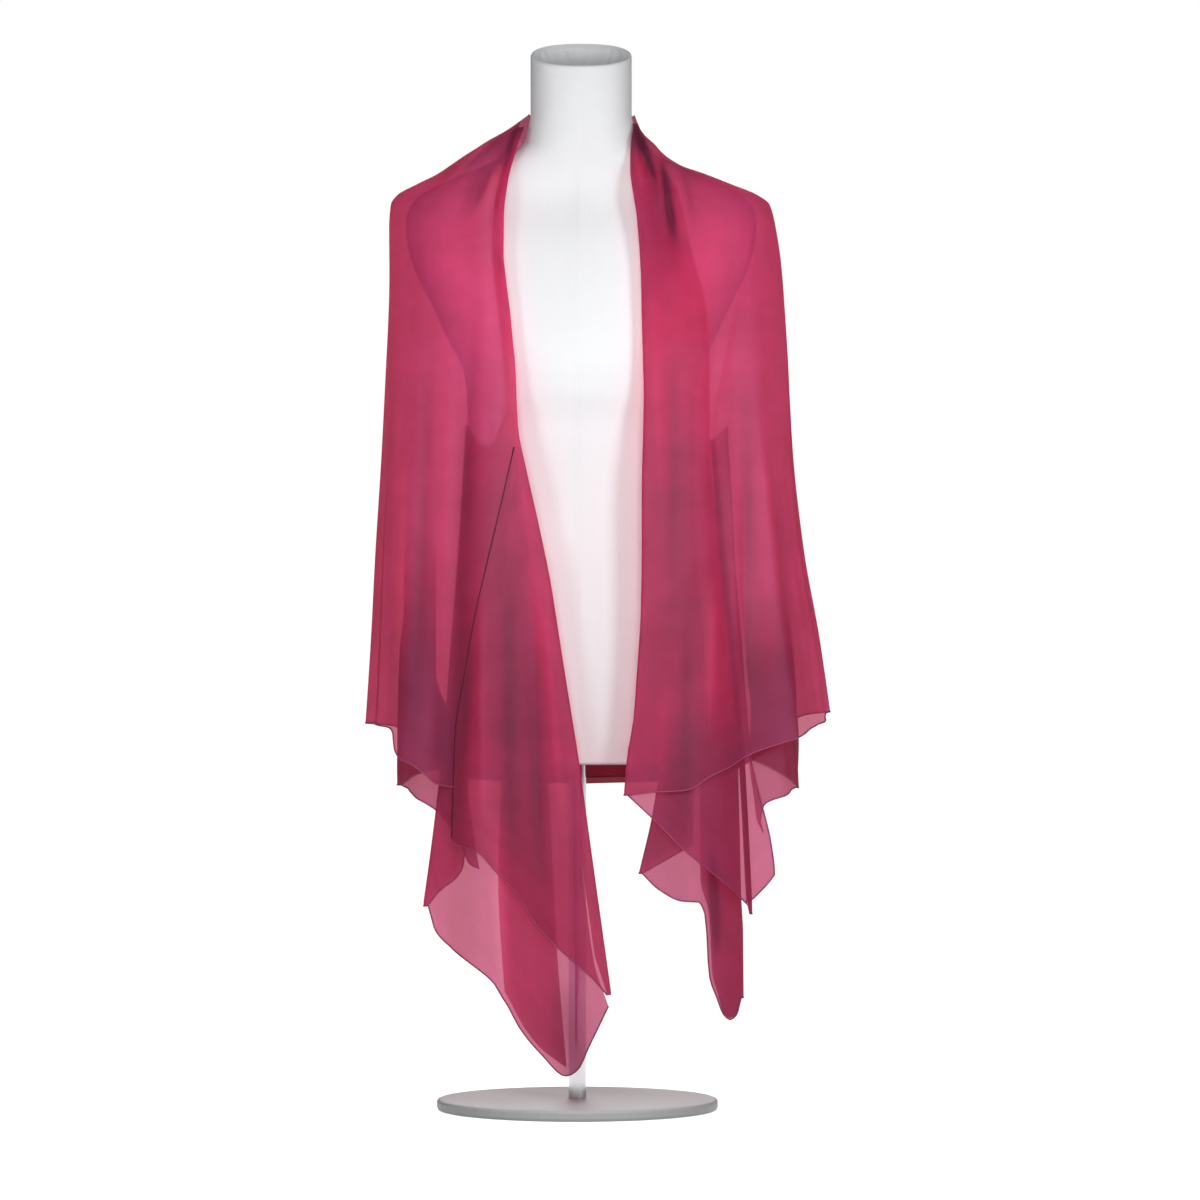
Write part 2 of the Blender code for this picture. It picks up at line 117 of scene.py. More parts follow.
# Upright edges and folds, seen from the front: height, x.
LEFT_FRONT = [
    (1062, -51), (1041, -58), (1018, -66), (990, -73), (944, -77), (910, -77), (878, -74),
    (847, -70), (816, -67), (784, -64), (753, -63), (721, -61), (690, -55), (658, -48),
    (627, -41), (565, -28), (502, -18), (439, -8), (377, 2), (283, 15), (133, 36),
]
LEFT_SEAM = [(704, -65.5), (638, -80), (544, -101), (471, -117), (403, -130), (295, -134)]
LEFT_FOLD = [(727, -118), (583, -128), (411, -143), (327, -152), (225, -163)]
LEFT_TURN = [(727, -100), (400, -112), (265, -118)]
LEFT_TIP = [(165, 18), (119, 33)]
LEFT_PLEAT_IN = [(400, -76), (253, -81), (115, -74)]
LEFT_PLEAT_OUT = [(400, -32), (178, -21), (55, -11)]
LEFT_CORNER = [(640, -176), (405, -190), (348, -189)]
LEFT_CORNER_IN = [(640, -150), (470, -150), (400, -130), (262, -100)]
RIGHT_FRONT = [
    (1051, 60), (1030, 57), (998, 56), (973, 59), (946, 63), (884, 67), (834, 68), (753, 70),
    (659, 68), (596, 68), (534, 67), (471, 63), (419, 59), (377, 52), (340, 49),
]
RIGHT_BAND = [(1030, 72), (974, 106), (905, 122), (850, 136), (802, 140), (753, 140), (713, 147)]
RIGHT_SEAM = [(713, 147), (600, 158), (500, 168), (378, 180), (226, 188)]
RIGHT_PLEAT = [(713, 141), (600, 151), (378, 173), (226, 181)]
RIGHT_OUTER = [(713, 160), (500, 176), (378, 187), (339, 195), (285, 206), (254, 209), (226, 206)]
RIGHT_UNDER = [(440, 96), (318, 79), (257, 65)]
RIGHT_UNDER_IN = [(440, 122), (288, 120)]
# The part's own edge runs further in here, by 22 mm at 440 mm and by nothing below 194 mm.
RIGHT_UNDER_OUT = [(440, 172), (300, 175), (235, 176), (215, 177), (194, 178), (103, 178)]
RIGHT_TAIL_IN = [(440, 127), (250, 128), (215, 137), (150, 141), (126, 148)]
RIGHT_CORNER = [(560, 222), (398, 237), (344, 238)]
RIGHT_CORNER_IN = [(560, 176), (470, 182), (425, 186), (378, 185), (332, 190), (313, 192), (298, 198)]

# How far inside the outer layer each layer hangs: height, depth.
OUTER = [(1060, 0)]
LEFT_INNER = [(727, 1.9), (640, 6), (500, 9)]
LEFT_BEHIND = [(727, 4.6), (640, 10), (500, 16)]
LEFT_INSIDE = [(400, 10.9), (300, 16)]
LEFT_CORNER_FRONT = [(640, 2.4), (560, 9), (470, 21), (400, 24)]
LEFT_CORNER_BACK = [(640, 5.5), (560, 15), (470, 28), (400, 31)]
LEFT_FACING = [(1040, 3.4), (704, 3)]
RIGHT_INNER = [(1040, 4), (980, 6), (900, 8)]
RIGHT_MIDDLE = [(713, 12), (500, 14)]
RIGHT_LAST = [(713, 16), (500, 20)]
RIGHT_BELOW = [(440, 9.9), (360, 26)]
RIGHT_BELOW_BACK = [(440, 14), (360, 31), (320, 33)]
RIGHT_CORNER_FRONT = [(560, 1.9), (470, 14), (400, 27)]
RIGHT_CORNER_BACK = [(560, 5), (470, 20), (400, 34)]

WAVES = [(9, 20, 0.55), (14, 75, 0.45)]
WAVE_HEIGHT = [(960, 0), (850, 2), (700, 5), (500, 8), (350, 11)]

OUTER_KNEE = 620
OUTER_ROWS = [1062, 1046, 1032, 1019, 1008, 998, 987, 976, 966, 952, 930, 900, 860, 815, 765,
              704, 620, 530, 440, 350]
CAPE_CORNER = 348
GORE_TOP = 704
GORE_ROWS = [z for z in OUTER_ROWS if OUTER_KNEE <= z <= GORE_TOP] + [
    OUTER_KNEE + (CAPE_CORNER - OUTER_KNEE) * share for share in (1 / 3, 2 / 3, 1)
] + [300, 250, 205, 165, 131]

# Large folds in the front: x and height of both ends, half width, depth.
CREASES = [
    (70, 1030, 92, 915, 10, 7),
    (98, 1000, 108, 880, 11, 5),
    (-78, 1035, -118, 925, 16, 21.8),
]

# ---------------------------------------------------------------- looks only
# Fine folds in the front, with the same columns.  A negative depth is a ridge.
# Their depth also paints shade into the valleys and light onto the ridges, through the folds' attribute.
FINE_CREASES = [
    # right, gathered at the neck: ridges with narrow valleys between them
    (61, 1050, 72, 960, 4.5, -3.2),
    (68, 1042, 85, 978, 3.5, 3.4),
    (78, 1042, 94, 955, 5, -4.0),
    (89, 1014, 104, 912, 4, 5.0),
    (101, 1016, 116, 920, 6, -3.6),
    # right, over the chest and down
    (188, 960, 132, 690, 4, -2.6),
    (80, 900, 88, 640, 8, -1.8),
    (100, 820, 104, 500, 8, 2.0),
    (164, 680, 172, 500, 6, -2.4),
    (146, 580, 136, 385, 6, -2.4),
    (181, 730, 178, 395, 6, 2.8),
    (189, 740, 204, 540, 7, -2.2),
    (208, 700, 226, 430, 8, 2.4),
    (118, 560, 112, 300, 7, 2.2),
    (92, 480, 84, 290, 7, -2.0),
    # left, gathered at the neck
    (-66, 1046, -82, 985, 4, 2.6),
    (-74, 1042, -100, 945, 6, -4.2),
    (-92, 990, -118, 940, 4, 1.5),
    (-84, 1044, -150, 975, 5, -3.0),
    (-88, 918, -78, 880, 3, 2.2),
    # left, down the cape
    (-104, 900, -118, 600, 8, 2.2),
    (-134, 850, -146, 430, 8, -2.4),
    (-158, 860, -168, 410, 8, 2.6),
    (-182, 700, -186, 420, 6, -2.4),
    (-196, 860, -202, 440, 6, 2.0),
    # left, down the gore and the long tip
    (-62, 700, -26, 430, 7, -2.2),
    (-37, 620, -16, 290, 6, -2.4),
    (-72, 600, -68, 260, 8, 2.8),
    (-101, 600, -95, 290, 6, -2.8),
    (-48, 520, -38, 230, 7, 2.4),
    (-112, 520, -122, 300, 7, 2.2),
    (-84, 330, -76, 110, 7, -2.2),
]
# The same for the back.
# These paint shade and light into the back in the same way.
BACK_CREASES = [
    (-36, 1042, -118, 962, 8, -3.0),
    (40, 1042, 126, 960, 8, -3.0),
    (-12, 1030, -30, 880, 9, -2.6),
    (14, 1030, 36, 860, 9, -2.6),
    (-66, 940, -84, 420, 10, 2.8),
    (-110, 900, -126, 430, 10, -2.6),
    (-34, 860, -40, 390, 9, -2.4),
    (2, 900, -6, 380, 11, 2.8),
    (48, 880, 56, 400, 9, -2.6),
    (88, 930, 104, 410, 10, 2.8),
    (132, 880, 152, 430, 10, -2.6),
    (176, 860, 196, 440, 9, 2.4),
]
# Bands of painted shade in the front: as above, with the share that each adds to the folds' attribute.
PAINTED_BANDS = [
    (66, 1040, 84, 985, 3.5, 0.75),
    (88, 1020, 104, 915, 4.5, 0.80),
    (62, 1052, 70, 1000, 3, 0.45),
    (110, 1016, 124, 930, 5, 0.35),
    (-52, 1056, -160, 974, 9, 0.55),
    (-70, 1044, -112, 952, 5, 0.60),
    (-60, 1052, -84, 1000, 3.5, 0.50),
    (-98, 1010, -130, 930, 6, 0.35),
    (-52, 1085, -58, 1012, 8, 0.90),
    (60, 1085, 64, 1012, 6, 0.90),
    # in the tip and the tail
    (-12, 150, 2, 20, 16, 0.45),
    (141, 290, 147, 165, 5, 0.60),
    # painted light over the shoulders and chest: lighter, more open cloth
    (152, 1035, 128, 660, 46, -0.38),
    (-138, 1035, -92, 640, 46, -0.38),
]
# Ripples all round: waves in the full turn, shift in degrees, drift in degrees a metre, height.
RIPPLES = [(31, 12, 160, 0.55), (47, 70, -220, 0.35), (23, 141, 90, 0.6)]

# Each cloth: what its threads reflect, what light they let glow through, and what its gaps pass.
THREADS = (0.54, 0.140, 0.420)
THREADS_LIT = (0.94, 0.110, 0.320)
GAPS = (0.94, 0.355, 0.44)
HEM_THREADS = (0.46, 0.045, 0.170)
# nearly black: the left gore's sewn seam, and painted shade along the back's hem
SEAM_AND_SHADE_THREADS = (0.20, 0.010, 0.026)
JERSEY_WHITE = (0.82, 0.83, 0.85)
SHEER = 0.35           # share of light that passes straight through one layer
HEM_SHEER = 0.12
SEAM_AND_SHADE_SHEER = 0.04
SHEEN = 0.12
GLOW = 0.70            # share of the light meeting the threads that passes on through them
HEM_GLOW = 0.15
FLOOR_GLOW = 1.0
WORLD_LIGHT = 0.08
SOFT_SPREAD = 115      # degrees that the soft boxes round the form spread their light over
CAMERA_LENS = 171.4
CAMERA_PLACE = (0.02415, -6.1, 0.5439)
# Painted shade: the threads' colours are multiplied by this where the folds' attribute is 1.
FOLD_PAINTED_SHADE = (0.42, 0.32, 0.36)  # how much darker the threads look in the deepest fold
FOLD_OPEN = (1.3, 0.45)          # how open the cloth is on a ridge and in the deepest fold
BANDS_ROUND_ABOVE = 1010.0             # above this height the painted bands are painted on the back as well
FOLD_NEUTRAL = 0.35              # value of the folds' attribute on flat cloth
FOLD_DEPTH = 7.0                 # depth of a crease that adds 1 to that value
HAIR = 0.05            # gap between two shells that are sewn edge to edge
HEM_RADIUS = 0.8       # the narrow rolled hems
SEAM_RADIUS = 0.65     # the narrow sewn seam of the left gore
BACK_HEM_WIDTH = 20.0  # height of the strip of painted shade along the back's hem
BACK_HEM_DROP = 7.0    # how far that strip reaches below the back's rolled edge
BACK_HEM_INSIDE = 1.0  # how far inside the back's cloth it lies
BACK_HEM_GUIDE = 8     # the row of the back, counted from its hem, that the strip points to
BACK_HEM_ROWS = 6
BACK_HEM_SHARES = (0.1, 0.9)  # the stretch of the back's width that the strip runs along
OUTER_FINENESS = 6     # rows of a shell for each row of OUTER_ROWS
GORE_FINENESS = 7
BODY_SKIP = 4          # rows at the neck that the right body leaves out


# ---------------------------------------------------------------- curves
def curve(table, column=1):
    """A smooth function through a table's rows, for arrays of keys."""
    rows = sorted(table)
    keys = np.array([row[0] for row in rows], float)
    values = np.array([row[column] for row in rows], float)
    if len(keys) == 1:
        return lambda key: np.full(np.shape(key), values[0])
    slopes = np.diff(values) / np.diff(keys)
    tangents = np.concatenate([slopes[:1], np.zeros(len(keys) - 2), slopes[-1:]])
    before, after = slopes[:-1], slopes[1:]
    same = before * after > 0
    tangents[1:-1][same] = 2 * before[same] * after[same] / (before[same] + after[same])

    def at(key):
        key = np.clip(key, keys[0], keys[-1])
        i = np.clip(np.searchsorted(keys, key, side="right") - 1, 0, len(keys) - 2)
        span = keys[i + 1] - keys[i]
        t = (key - keys[i]) / span
        return ((1 + 2 * t) * (1 - t) ** 2 * values[i] + t * (1 - t) ** 2 * span * tangents[i]
                + t * t * (3 - 2 * t) * values[i + 1] + t * t * (t - 1) * span * tangents[i + 1])

    return at


def power(value, exponent):
    return np.sign(value) * np.abs(value) ** exponent


REACH_LEFT, REACH_RIGHT, REACH_FRONT, REACH_BACK = (curve(WRAP, column) for column in (1, 2, 3, 4))
WAVE = curve(WAVE_HEIGHT)
HEM_HEIGHT = curve(OUTER_HEM)


def plan(z, angle):
    """The outer layer's plan curve, angle in radians from the front."""
    side = np.where(np.sin(angle) > 0, REACH_RIGHT(z), REACH_LEFT(z))
    reach = np.where(np.cos(angle) > 0, REACH_FRONT(z), REACH_BACK(z))
    return side * power(np.sin(angle), 2 / ROUND), -reach * power(np.cos(angle), 2 / ROUND)


def outward(z, angle):
    x0, y0 = plan(z, angle - 0.03)
    x1, y1 = plan(z, angle + 0.03)
    length = np.hypot(x1 - x0, y1 - y0)
    return (y1 - y0) / length, -(x1 - x0) / length


def wave(z, angle):
    push = sum(share * np.cos(count * (angle + math.radians(shift)))
               for count, shift, share in WAVES)
    return WAVE(z) * push


def ripple(z, angle):
    """Small soft waves that grow downwards, the same on each layer so that none meet."""
    grow = np.clip((1000 - z) / 400, 0, 1)
    return grow * sum(
        height * np.cos(count * angle + math.radians(shift) + math.radians(drift) * z * MM)
        for count, shift, drift, height in RIPPLES)


def crease(x, z, table):
    pull = np.zeros(np.broadcast(x, z).shape)
    for top_x, top_z, low_x, low_z, width, depth in table:
        along = (top_z - z) / (top_z - low_z)
        middle = top_x + along * (low_x - top_x)
        inside = np.where((along > 0) & (along < 1), np.sin(np.pi * np.clip(along, 0, 1)), 0.0)
        pull += depth * inside * np.exp(-((x - middle) / width) ** 2)
    return pull


def cloth_point(z, angle, depth):
    x, y = plan(z, angle)
    nx, ny = outward(z, angle)
    push = wave(z, angle) + ripple(z, angle) - depth
    push -= np.where(np.cos(angle) > 0, crease(x, z, CREASES) + crease(x, z, FINE_CREASES),
                     crease(x, z, BACK_CREASES))
    return np.stack([x + nx * push, y + ny * push, z + 0 * x], axis=-1)


def angle_at(z, x, depth):
    target = x
    for _ in range(4):
        side = np.where(target > 0, REACH_RIGHT(z), REACH_LEFT(z))
        ratio = np.clip(target / side, -0.999, 0.999)
        angle = np.arcsin(power(ratio, ROUND / 2))
        target = x + depth * outward(z, angle)[0]
    return angle


# ---------------------------------------------------------------- stretches of cloth
def run(start, end, depth, top, hem, columns):
    return {"start": curve(start), "end": curve(end), "depth": curve(depth),
            "top": top if top is None or top == "gore" else curve(top),
            "hem": curve(hem), "columns": columns}


def level(height):
    return [(0.0, height)]


def shares(count):
    return np.linspace(0, 1, count + 1)


def finer(rows, times):
    """Rows with more rows between them."""
    index = np.arange(len(rows))
    return np.interp(np.linspace(0, len(rows) - 1, (len(rows) - 1) * times + 1), index, rows)


def stretched(row, hem, knee, lowest):
    return np.where(row >= knee, row, knee + (hem - knee) * (knee - row) / (knee - lowest))


def run_height(this, share, row):
    hem = this["hem"](share)
    if this["top"] is None:
        return stretched(row, hem, OUTER_KNEE, OUTER_ROWS[-1])
    if isinstance(this["top"], str):
        return stretched(row, hem, CAPE_CORNER, GORE_ROWS[-1])
    top = this["top"](share)
    return top + row * (hem - top)


def fold_radius(one, other, z):
    return np.abs(one["depth"](z) - other["depth"](z)) / 2 if other else 0.0


def front_columns(runs, rows, fold_steps=7):
    """Points of a path of runs seen from the front, as an array of columns."""
    parts = []
    row = np.asarray(rows, float)[None, :]
    for number, this in enumerate(runs):
        before = runs[number - 1] if number else None
        after = runs[number + 1] if number + 1 < len(runs) else None
        share = shares(this["columns"])[:, None]
        z = run_height(this, share, row)
        start, end = this["start"](z), this["end"](z)
        direction = np.where(end >= start, 1.0, -1.0)
        start = start + direction * fold_radius(this, before, z)
        end = end - direction * fold_radius(this, after, z)
        depth = this["depth"](z)
        parts.append(cloth_point(z, angle_at(z, start + share * (end - start), depth), depth))
        if after:
            turn = np.pi * (np.arange(1, fold_steps + 1) / (fold_steps + 1))[:, None]
            z = run_height(this, np.ones_like(turn), row)
            direction = np.where(this["end"](z) >= this["start"](z), 1.0, -1.0)
            first, last = this["depth"](z), after["depth"](z)
            radius = np.abs(last - first) / 2
            depth = (first + last) / 2 - (last - first) / 2 * np.cos(turn)
            x = this["end"](z) - direction * radius * (1 - np.sin(turn))
            parts.append(cloth_point(z, angle_at(z, x, depth), depth))
    return np.concatenate(parts)


def outer_columns(edge, last, columns, rows):
    """Points of the outer layer from an upright edge on the front to an angle at the back."""
    row = np.asarray(rows, float)[None, :]
    share = shares(columns)[:, None]

    def angles(z):
        first = edge if isinstance(edge, float) else angle_at(z, curve(edge)(z), 0.0)
        return first + share * (last - first)

    low = np.degrees(angles(np.full((1, 1), float(OUTER_ROWS[-1]))))
    hem = HEM_HEIGHT(np.where(low < -180, low + 360, low))
    z = stretched(row, hem, OUTER_KNEE, OUTER_ROWS[-1])
    return cloth_point(z, angles(z), 0.0)


def shifted(table, amount):
    return [(z, x + amount) for z, x in table]


def joined(upper, lower, height):
    return ([row for row in upper if row[0] > height]
            + [row for row in lower if row[0] <= height])


# ---------------------------------------------------------------- meshes
def make_mesh(name, points, faces, uv, material):
    """A smooth mesh from points in millimetres, faces, and one UV in metres for each point."""
    mesh = bpy.data.meshes.new(name)
    mesh.from_pydata((np.asarray(points) * MM).tolist(), [], faces)
    layer = mesh.uv_layers.new(name="cloth")
    corner = np.empty(len(mesh.loops), dtype=np.int64)
    mesh.loops.foreach_get("vertex_index", corner)
    layer.data.foreach_set("uv", np.asarray(uv, float)[corner].ravel())
    mesh.materials.append(material)
    mesh.shade_smooth()
    item = bpy.data.objects.new(name, mesh)
    bpy.context.scene.collection.objects.link(item)
    return item


def grid_faces(columns, rows, round_columns=False, round_rows=False):
    index = np.arange(columns * rows).reshape(columns, rows)
    if round_columns:
        index = np.concatenate([index, index[:1]])
    if round_rows:
        index = np.concatenate([index, index[:, :1]], axis=1)
    quads = np.stack([index[:-1, :-1], index[:-1, 1:], index[1:, 1:], index[1:, :-1]], axis=-1)
    return quads.reshape(-1, 4).tolist()


def lengths(points, axis):
    """Distance along an axis of a grid, in metres, averaged over the other axis."""
    steps = np.linalg.norm(np.diff(points, axis=axis), axis=-1).mean(axis=1 - axis)
    return np.concatenate([[0], np.cumsum(steps)]) * MM


def shell(name, points, material):
    columns, rows = points.shape[:2]
    u, v = np.meshgrid(lengths(points, 0), lengths(points, 1), indexing="ij")
    return make_mesh(name, points.reshape(-1, 3), grid_faces(columns, rows),
                     np.stack([u, v], axis=-1).reshape(-1, 2), material)


def roll(name, line, radius, material, sides=8, flat=0.75):
    """A narrow roll of cloth along a line of points, for a hem or a seam."""
    line = np.asarray(line, float)
    keep = np.concatenate([[True], np.linalg.norm(np.diff(line, axis=0), axis=1) > 0.05])
    line = line[keep]
    along = np.gradient(line, axis=0)
    along /= np.linalg.norm(along, axis=1)[:, None]
    side = np.cross(along, (0.0, -1.0, 0.0))
    side /= np.maximum(np.linalg.norm(side, axis=1), 1e-6)[:, None]
    out = np.cross(side, along)
    turn = np.linspace(0, 2 * np.pi, sides, endpoint=False)
    ring = (line[:, None] + radius * np.cos(turn)[None, :, None] * side[:, None]
            + flat * radius * np.sin(turn)[None, :, None] * out[:, None])
    faces = grid_faces(len(line), sides, round_rows=True)
    faces += [list(range(sides))[::-1],
              list(range((len(line) - 1) * sides, len(line) * sides))]
    step = np.concatenate([[0], np.cumsum(np.linalg.norm(np.diff(line, axis=0), axis=1))]) * MM
    u, v = np.meshgrid(step, turn * radius * MM, indexing="ij")
    return make_mesh(name, ring.reshape(-1, 3), faces,
                     np.stack([u, v], axis=-1).reshape(-1, 2), material)


# ---------------------------------------------------------------- materials
def new_material(name):
    material = bpy.data.materials.new(name)
    material.use_nodes = True
    nodes = material.node_tree.nodes
    nodes.clear()
    return material, nodes, material.node_tree.links


def node(nodes, kind, **values):
    made = nodes.new(kind)
    for key, value in values.items():
        setattr(made, key, value)
    return made


def weave_height(nodes, links, threads):
    """Height of a plain weave, from UVs in metres."""
    place = node(nodes, "ShaderNodeUVMap", uv_map="cloth")
    heights = []
    for direction in ("X", "Y"):
        threads_node = node(nodes, "ShaderNodeTexWave", wave_type="BANDS",
                            bands_direction=direction, wave_profile="SIN")
        threads_node.inputs["Scale"].default_value = threads
        threads_node.inputs["Distortion"].default_value = 1.2
        threads_node.inputs["Detail"].default_value = 1.0
        links.new(place.outputs["UV"], threads_node.inputs["Vector"])
        heights.append(threads_node)
    cross = node(nodes, "ShaderNodeMath", operation="MULTIPLY")
    links.new(heights[0].outputs["Fac"], cross.inputs[0])
    links.new(heights[1].outputs["Fac"], cross.inputs[1])
    return place, cross


def mottled(nodes, links, pattern, colour):
    """A colour that a pattern makes a little darker and lighter."""
    tone = node(nodes, "ShaderNodeValToRGB")
    for element, position, strength in zip(tone.color_ramp.elements, (0.3, 0.7), (0.88, 1.10)):
        element.position = position
        element.color = (*[min(1.0, strength * part) for part in colour], 1)
    links.new(pattern, tone.inputs["Fac"])
    return tone.outputs["Color"]


def shaded(nodes, links, folds, colour):
    """Painted shade: a colour made darker where the colour attribute of the folds is high."""
    shade = node(nodes, "ShaderNodeValToRGB")
    shade.color_ramp.elements[0].color = (1, 1, 1, 1)
    shade.color_ramp.elements[1].color = (*FOLD_PAINTED_SHADE, 1)
    links.new(folds, shade.inputs["Fac"])
    product = node(nodes, "ShaderNodeMixRGB", blend_type="MULTIPLY")
    product.inputs["Fac"].default_value = 1.0
    links.new(colour, product.inputs["Color1"])
    links.new(shade.outputs["Color"], product.inputs["Color2"])
    return product.outputs["Color"]


def chiffon(name, threads, lit, sheer, sheen, glow_share, paint_fold_shade=False, fading=False):
    """Sheer cloth: threads that reflect and pass light, with clear gaps between them.
    The glow's share is how much of the light that meets the threads passes on through them.
    If asked for, the colour attribute "folds" paints shade: the threads darker and the cloth less open
    where it is high, lighter and more open where it is low.
    With fading, the colour attribute "fade" thins it out where an inner layer runs up out of sight."""
    material, nodes, links = new_material(name)
    folds = node(nodes, "ShaderNodeVertexColor", layer_name="folds").outputs["Color"] if paint_fold_shade else None
    place, weave = weave_height(nodes, links, 260.0)
    cloudy = node(nodes, "ShaderNodeTexNoise", noise_dimensions="2D")
    cloudy.inputs["Scale"].default_value = 22.0
    cloudy.inputs["Detail"].default_value = 5.0
    links.new(place.outputs["UV"], cloudy.inputs["Vector"])
    crepe = node(nodes, "ShaderNodeTexNoise", noise_dimensions="2D")
    crepe.inputs["Scale"].default_value = 900.0
    crepe.inputs["Detail"].default_value = 2.0
    links.new(place.outputs["UV"], crepe.inputs["Vector"])
    relief = node(nodes, "ShaderNodeMath", operation="ADD")
    links.new(weave.outputs[0], relief.inputs[0])
    links.new(crepe.outputs["Fac"], relief.inputs[1])
    bump = node(nodes, "ShaderNodeBump")
    bump.inputs["Strength"].default_value = 0.16
    bump.inputs["Distance"].default_value = 0.0003
    links.new(relief.outputs[0], bump.inputs["Height"])

    face = node(nodes, "ShaderNodeBsdfPrincipled")
    face.inputs["Roughness"].default_value = 0.5
    face.inputs["Specular IOR Level"].default_value = 0.8
    face.inputs["Sheen Weight"].default_value = sheen
    face.inputs["Sheen Roughness"].default_value = 0.45
    face.inputs["Sheen Tint"].default_value = (1.0, 0.45, 0.6, 1.0)
    glow = node(nodes, "ShaderNodeBsdfTranslucent")
    for colour, socket in ((threads, face.inputs["Base Color"]), (lit, glow.inputs["Color"])):
        tone = mottled(nodes, links, cloudy.outputs["Fac"], colour)
        links.new(shaded(nodes, links, folds, tone) if paint_fold_shade else tone, socket)
    for shader in (face, glow):
        links.new(bump.outputs["Normal"], shader.inputs["Normal"])
    body = node(nodes, "ShaderNodeMixShader")
    body.inputs["Fac"].default_value = glow_share
    links.new(face.outputs[0], body.inputs[1])
    links.new(glow.outputs[0], body.inputs[2])
    gaps = node(nodes, "ShaderNodeBsdfTransparent")
    gaps.inputs["Color"].default_value = (*GAPS, 1)
    mix = node(nodes, "ShaderNodeMixShader")
    mix.inputs["Fac"].default_value = sheer
    if paint_fold_shade:
        open_share = node(nodes, "ShaderNodeMapRange")
        open_share.inputs["To Min"].default_value = sheer * FOLD_OPEN[0]
        open_share.inputs["To Max"].default_value = sheer * FOLD_OPEN[1]
        links.new(folds, open_share.inputs["Value"])
        links.new(open_share.outputs[0], mix.inputs["Fac"])
    if fading:
        fade = node(nodes, "ShaderNodeVertexColor", layer_name="fade")
        share = node(nodes, "ShaderNodeMapRange")
        links.new(open_share.outputs[0], share.inputs["To Min"])
        share.inputs["To Max"].default_value = 1.0
        links.new(fade.outputs["Color"], share.inputs["Value"])
        links.new(share.outputs[0], mix.inputs["Fac"])
        clear = node(nodes, "ShaderNodeValToRGB")
        clear.color_ramp.elements[0].color = (*GAPS, 1)
        clear.color_ramp.elements[1].color = (1, 1, 1, 1)
        links.new(fade.outputs["Color"], clear.inputs["Fac"])
        links.new(clear.outputs["Color"], gaps.inputs["Color"])
    links.new(body.outputs[0], mix.inputs[1])
    links.new(gaps.outputs[0], mix.inputs[2])
    output = node(nodes, "ShaderNodeOutputMaterial")
    links.new(mix.outputs[0], output.inputs["Surface"])
    return material


def jersey():
    """White knit: upright wales with small loops, faint shade between them."""
    material, nodes, links = new_material("jersey_cover")
    place = node(nodes, "ShaderNodeUVMap", uv_map="cloth")
    wales = node(nodes, "ShaderNodeTexWave", wave_type="BANDS", bands_direction="X",
                 wave_profile="SIN")
    wales.inputs["Scale"].default_value = 150.0
    wales.inputs["Distortion"].default_value = 0.6
    wales.inputs["Detail"].default_value = 1.0
    loops = node(nodes, "ShaderNodeTexWave", wave_type="BANDS", bands_direction="Y",
                 wave_profile="SIN")
    loops.inputs["Scale"].default_value = 210.0
    loops.inputs["Distortion"].default_value = 1.0
    relief = node(nodes, "ShaderNodeMath", operation="MULTIPLY_ADD")
    relief.inputs[1].default_value = 0.45
    links.new(place.outputs["UV"], wales.inputs["Vector"])
    links.new(place.outputs["UV"], loops.inputs["Vector"])
    links.new(loops.outputs["Fac"], relief.inputs[0])
    links.new(wales.outputs["Fac"], relief.inputs[2])
    soft = node(nodes, "ShaderNodeTexNoise", noise_dimensions="2D")
    soft.inputs["Scale"].default_value = 9.0
    soft.inputs["Detail"].default_value = 6.0
    links.new(place.outputs["UV"], soft.inputs["Vector"])
    tone = node(nodes, "ShaderNodeValToRGB")
    tone.color_ramp.elements[0].position = 0.25
    tone.color_ramp.elements[0].color = (*[0.965 * part for part in JERSEY_WHITE], 1)
    tone.color_ramp.elements[1].position = 0.75
    tone.color_ramp.elements[1].color = (*JERSEY_WHITE, 1)
    links.new(soft.outputs["Fac"], tone.inputs["Fac"])
    bump = node(nodes, "ShaderNodeBump")
    bump.inputs["Strength"].default_value = 0.2
    bump.inputs["Distance"].default_value = 0.0004
    links.new(relief.outputs[0], bump.inputs["Height"])
    face = node(nodes, "ShaderNodeBsdfPrincipled")
    face.inputs["Roughness"].default_value = 0.85
    face.inputs["Sheen Weight"].default_value = 0.15
    face.inputs["Sheen Roughness"].default_value = 0.5
    links.new(tone.outputs["Color"], face.inputs["Base Color"])
    links.new(bump.outputs["Normal"], face.inputs["Normal"])
    output = node(nodes, "ShaderNodeOutputMaterial")
    links.new(face.outputs[0], output.inputs["Surface"])
    return material


def metal(name, colour, roughness, metallic, scratch):
    """Metal or paint with fine uneven gloss."""
    material, nodes, links = new_material(name)
    place = node(nodes, "ShaderNodeTexCoord")
    marks = node(nodes, "ShaderNodeTexNoise")
    marks.inputs["Scale"].default_value = scratch
    marks.inputs["Detail"].default_value = 6.0
    links.new(place.outputs["Object"], marks.inputs["Vector"])
    gloss = node(nodes, "ShaderNodeMapRange")
    gloss.inputs["To Min"].default_value = roughness * 0.75
    gloss.inputs["To Max"].default_value = roughness * 1.3
    links.new(marks.outputs["Fac"], gloss.inputs["Value"])
    face = node(nodes, "ShaderNodeBsdfPrincipled")
    face.inputs["Base Color"].default_value = (*colour, 1)
    face.inputs["Metallic"].default_value = metallic
    links.new(gloss.outputs[0], face.inputs["Roughness"])
    output = node(nodes, "ShaderNodeOutputMaterial")
    links.new(face.outputs[0], output.inputs["Surface"])
    return material


